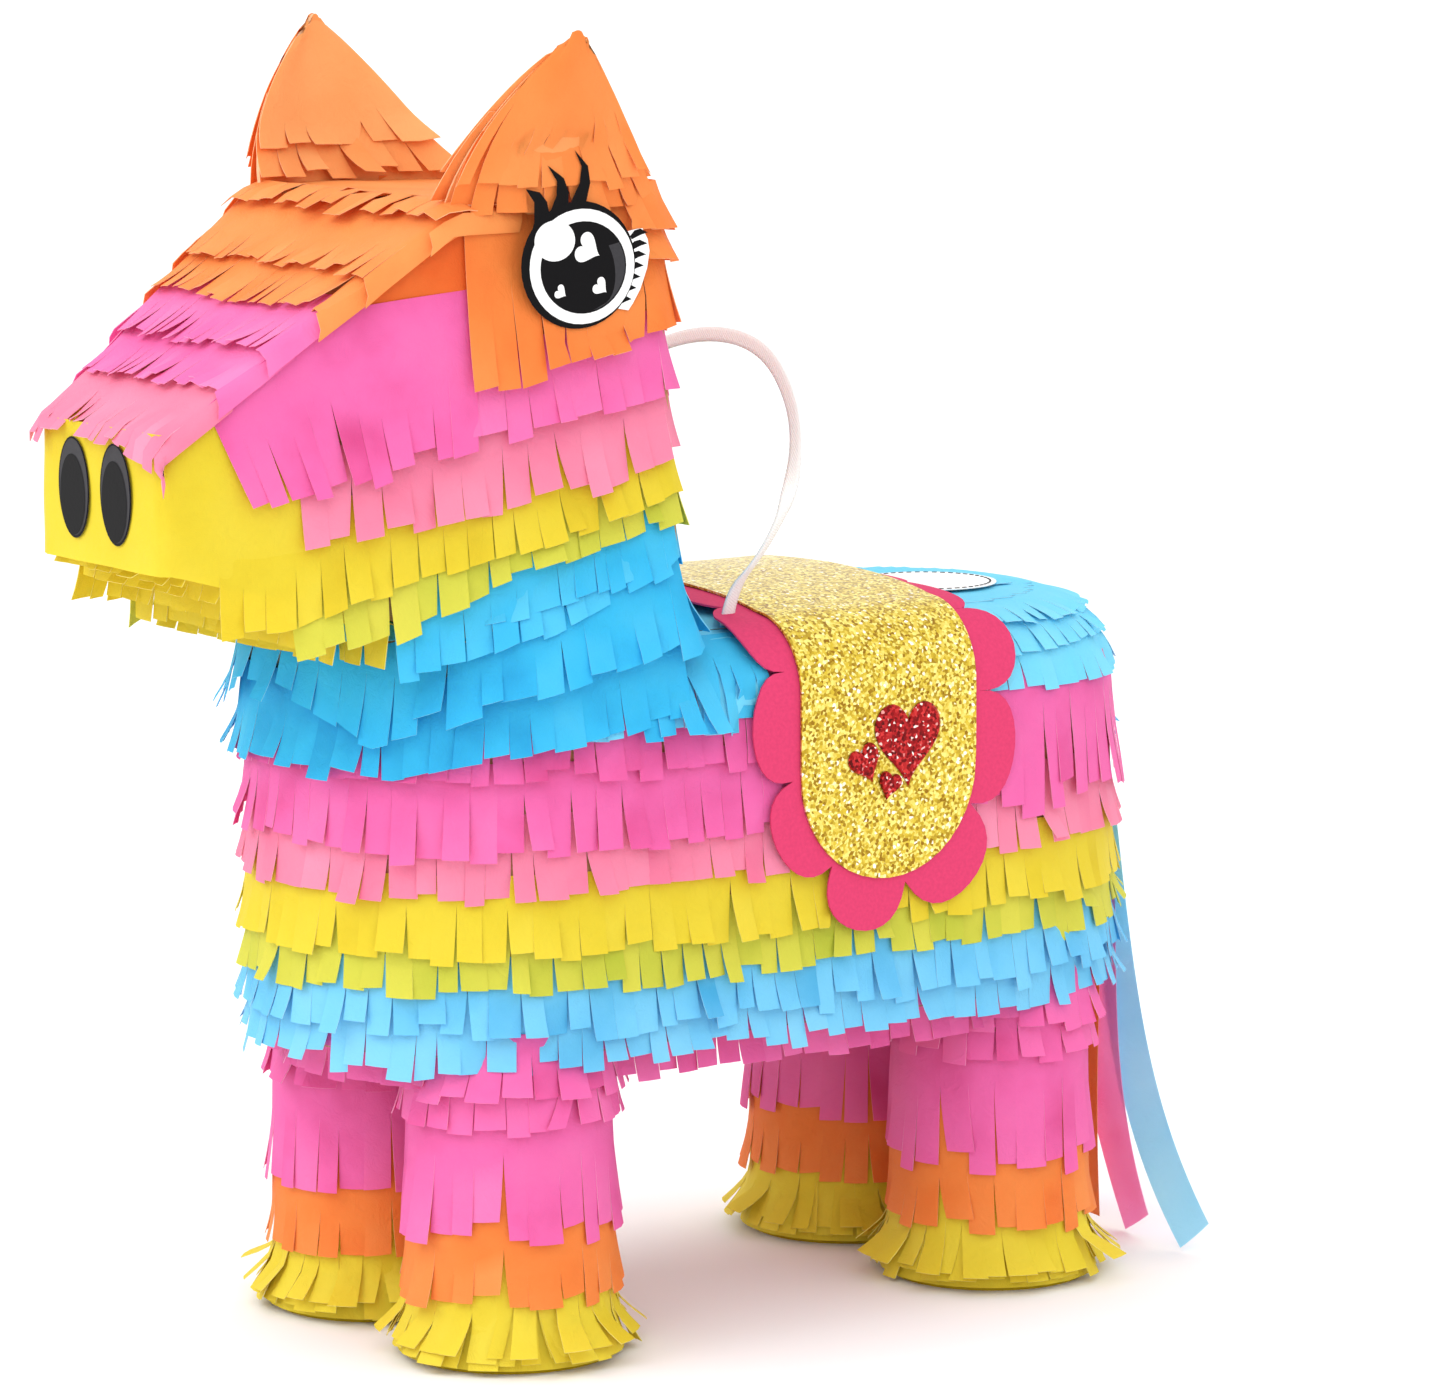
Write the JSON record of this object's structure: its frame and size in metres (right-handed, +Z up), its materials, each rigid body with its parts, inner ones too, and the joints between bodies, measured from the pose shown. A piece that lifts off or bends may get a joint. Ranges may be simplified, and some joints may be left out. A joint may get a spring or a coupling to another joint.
{
  "type": "donkey pinata",
  "caption": "Hollow cardboard donkey covered in rows of fringed tissue paper, with a fill flap in its back and a loop to hang it by, to be filled with sweets.",
  "frame": {"origin": "on the floor under the middle of the donkey's bounding box, hanging loop left out", "axes": "+Z up, the donkey looks along -Y, +X is its left side"},
  "size_m": [0.153, 0.3676, 0.393],
  "materials": {
    "cardboard": "matt corrugated board",
    "pink_tissue": "matt fringed tissue paper",
    "yellow_tissue": "matt fringed tissue paper",
    "blue_tissue": "matt fringed tissue paper",
    "orange_tissue": "matt fringed tissue paper",
    "seal_paper": "satin printed paper",
    "eye_print": "satin printed card",
    "nostril_print": "satin printed card",
    "strap": "woven strap, slightly glossy",
    "anchor_wood": "raw",
    "saddle_card": "smooth coloured card",
    "gold_glitter": "glitter card",
    "red_glitter": "glitter card"
  },
  "bodies": {
    "donkey": {"back_panel": "cardboard", "belly_panel": "cardboard", "body_side_left": "cardboard", "body_side_right": "cardboard", "bridge_panel": "cardboard", "cheek_left": "cardboard", "cheek_right": "cardboard", "chest_wall": "cardboard", "crown_panel": "cardboard", "ear_left": "orange_tissue", "ear_right": "orange_tissue", "eye_left": "eye_print", "eye_right": "eye_print", "hang_loop": "strap", "jaw_panel": "cardboard", "leg_cap_front_left": "yellow_tissue", "leg_cap_front_right": "yellow_tissue", "leg_cap_rear_left": "yellow_tissue", "leg_cap_rear_right": "yellow_tissue", "leg_tissue_front_left": "pink_tissue", "leg_tissue_front_right": "pink_tissue", "leg_tissue_rear_left": "pink_tissue", "leg_tissue_rear_right": "pink_tissue", "leg_tube_front_left": "cardboard", "leg_tube_front_right": "cardboard", "leg_tube_rear_left": "cardboard", "leg_tube_rear_right": "cardboard", "loop_anchor": "anchor_wood", "muzzle_front": "cardboard", "neck_rear_panel": "cardboard", "nostrils": "nostril_print", "rump_shoulder": "cardboard", "rump_wall": "cardboard", "saddle_cloth": "saddle_card", "saddle_hearts_left": "red_glitter", "saddle_hearts_right": "red_glitter", "saddle_strip": "gold_glitter", "shoulder_left": "cardboard", "shoulder_right": "cardboard", "tail_patch": "blue_tissue", "tail_streamer_blue": "blue_tissue", "tail_streamer_blue_far": "blue_tissue", "tail_streamer_orange": "orange_tissue", "tail_streamer_pink": "pink_tissue", "tail_streamer_pink_far": "pink_tissue", "tissue_back_blue": "blue_tissue", "tissue_belly_pink": "pink_tissue", "tissue_body_blue": "blue_tissue", "tissue_body_pink": "pink_tissue", "tissue_body_yellow": "yellow_tissue", "tissue_head_orange": "orange_tissue", "tissue_head_pink": "pink_tissue", "tissue_jaw_yellow": "yellow_tissue", "tissue_muzzle_yellow": "yellow_tissue", "tissue_neck_blue": "blue_tissue", "tissue_neck_yellow": "yellow_tissue"},
    "flap": {"fill_flap": "cardboard", "flap_tissue": "blue_tissue", "fill_seal": "seal_paper"}
  },
  "joints": [
    {"name": "fill_flap_hinge", "type": "hinge", "parent": "donkey", "child": "flap", "pos_m": [0, 0.132, 0.216], "axis": [-1, 0, 0], "range_deg": [0, 110]}
  ]
}
